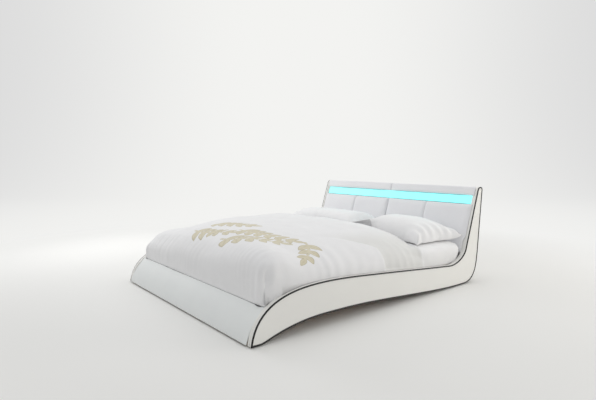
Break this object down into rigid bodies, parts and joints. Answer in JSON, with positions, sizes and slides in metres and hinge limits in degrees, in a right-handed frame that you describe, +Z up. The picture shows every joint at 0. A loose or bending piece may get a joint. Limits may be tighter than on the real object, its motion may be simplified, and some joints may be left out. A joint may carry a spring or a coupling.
{
  "type": "leather double bed",
  "caption": "Low double bed with S-curved white leather side rails, black piping, a lit padded headboard, slat base, mattress, duvet and pillows.",
  "frame": {"origin": "on the floor under the middle of the bed's bounding box", "axes": "+X towards the right side seen from the foot end, +Y towards the headboard, +Z up"},
  "size_m": [1.9996, 2.5497, 0.87],
  "materials": {
    "white_leather": "soft semi-matte white leather over foam",
    "black_piping": "thin black leather cord in the seam",
    "plywood": "bare plywood board",
    "beech": "planed beech",
    "grey_steel": "grey powder-coated steel",
    "aluminium": "plain extruded aluminium",
    "opal_light": "opal diffuser glowing cyan",
    "light_tape": "white flexible light tape",
    "black_plastic": "matt black moulded plastic",
    "white_plastic": "white moulded plastic",
    "cable_sheath": "black round cable sheath",
    "sheet_cotton": "plain white cotton",
    "duvet_cotton": "white cotton with a pale beige print"
  },
  "bodies": {
    "frame": {"side_rail_core_left": "plywood", "side_rail_cover_left": "white_leather", "piping_left": "black_piping", "side_rail_core_right": "plywood", "side_rail_cover_right": "white_leather", "piping_right": "black_piping", "foot_panel_core": "plywood", "foot_panel_cover": "white_leather", "foot_cross_rail": "plywood", "headboard_core": "plywood", "headboard_rib_left": "plywood", "headboard_rib_right": "plywood", "headboard_base_rail": "plywood", "headboard_back_panel": "white_leather", "cushion_upper_left": "white_leather", "cushion_lower_left": "white_leather", "cushion_upper_right": "white_leather", "cushion_lower_right": "white_leather", "led_channel": "aluminium", "led_tape": "light_tape", "led_diffuser": "opal_light", "led_driver": "white_plastic", "led_lead": "cable_sheath", "supply_lead": "cable_sheath", "inlet_housing": "black_plastic", "side_ledger_left": "beech", "side_ledger_right": "beech", "corner_bracket_foot_left": "grey_steel", "corner_bracket_foot_right": "grey_steel", "beam_hanger_foot": "grey_steel", "corner_bracket_head_left": "grey_steel", "corner_bracket_head_right": "grey_steel", "beam_hanger_head": "grey_steel", "centre_beam": "grey_steel", "centre_leg_front": "grey_steel", "glide_front_left": "black_plastic", "glide_front_right": "black_plastic", "centre_leg_rear": "grey_steel", "glide_rear_left": "black_plastic", "glide_rear_right": "black_plastic", "slat_01": "beech", "slat_02": "beech", "slat_03": "beech", "slat_04": "beech", "slat_05": "beech", "slat_06": "beech", "slat_07": "beech", "slat_08": "beech", "slat_09": "beech", "slat_10": "beech", "slat_11": "beech", "slat_12": "beech", "slat_13": "beech"},
    "mattress": {"mattress": "sheet_cotton"},
    "duvet": {"duvet": "duvet_cotton"},
    "pillow_left": {"pillow_left": "sheet_cotton"},
    "pillow_right": {"pillow_right": "sheet_cotton"},
    "switch_rocker": {"switch_rocker": "white_plastic"},
    "levelling_foot_front": {"levelling_foot_front": "black_plastic"},
    "levelling_foot_rear": {"levelling_foot_rear": "black_plastic"}
  },
  "joints": [
    {"name": "mattress_lift", "type": "slide", "parent": "frame", "child": "mattress", "axis": [0, 0, 1], "range_m": [0, 0.25]},
    {"name": "duvet_lift", "type": "slide", "parent": "mattress", "child": "duvet", "axis": [0, 0, 1], "range_m": [0, 0.35]},
    {"name": "pillow_left_lift", "type": "slide", "parent": "mattress", "child": "pillow_left", "axis": [0, 0, 1], "range_m": [0, 0.3]},
    {"name": "pillow_right_lift", "type": "slide", "parent": "mattress", "child": "pillow_right", "axis": [0, 0, 1], "range_m": [0, 0.3]},
    {"name": "switch_rock", "type": "hinge", "parent": "frame", "child": "switch_rocker", "pos_m": [0.315, 1.22638, 0.34], "axis": [1, 0, 0], "range_deg": [-14, 0]},
    {"name": "levelling_front", "type": "slide", "parent": "frame", "child": "levelling_foot_front", "axis": [0, 0, 1], "range_m": [0, 0.012]},
    {"name": "levelling_rear", "type": "slide", "parent": "frame", "child": "levelling_foot_rear", "axis": [0, 0, 1], "range_m": [0, 0.012]}
  ]
}
